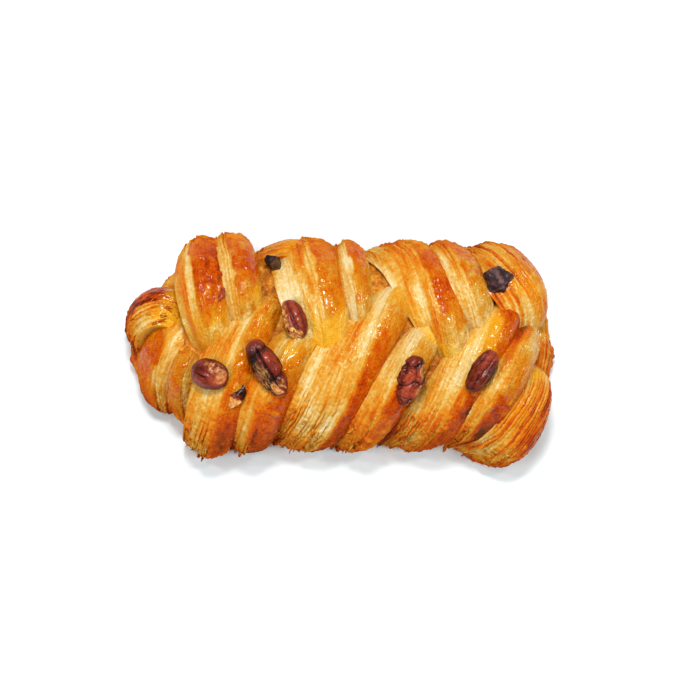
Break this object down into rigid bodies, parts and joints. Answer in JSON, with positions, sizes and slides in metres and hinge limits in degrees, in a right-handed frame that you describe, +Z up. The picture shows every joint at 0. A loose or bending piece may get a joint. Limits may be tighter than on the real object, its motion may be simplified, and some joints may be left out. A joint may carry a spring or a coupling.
{
  "type": "pecan braid pastry",
  "caption": "Baked flaky pastry with strips of dough folded crosswise over a nut filling, glazed and topped with pecan halves.",
  "frame": {"origin": "on the underside, at the middle of the outline", "axes": "+X along the loaf, +Y across it towards the far side of the picture, +Z up"},
  "size_m": [0.1508, 0.082, 0.0393],
  "materials": {
    "crust": "flaky crust with a thin clear glaze",
    "filling": "granular nut paste",
    "pecan": "wrinkled roasted nut skin",
    "burnt_pecan": "charred nut skin"
  },
  "bodies": {
    "root": {"pastry": "crust", "filling": "filling", "pecan_1": "pecan", "pecan_2": "pecan", "pecan_3": "pecan", "pecan_4": "pecan", "pecan_5": "pecan", "burnt_pecan_1": "burnt_pecan", "burnt_pecan_2": "burnt_pecan", "pecan_chip_1": "pecan", "pecan_chip_2": "pecan"}
  },
  "joints": []
}
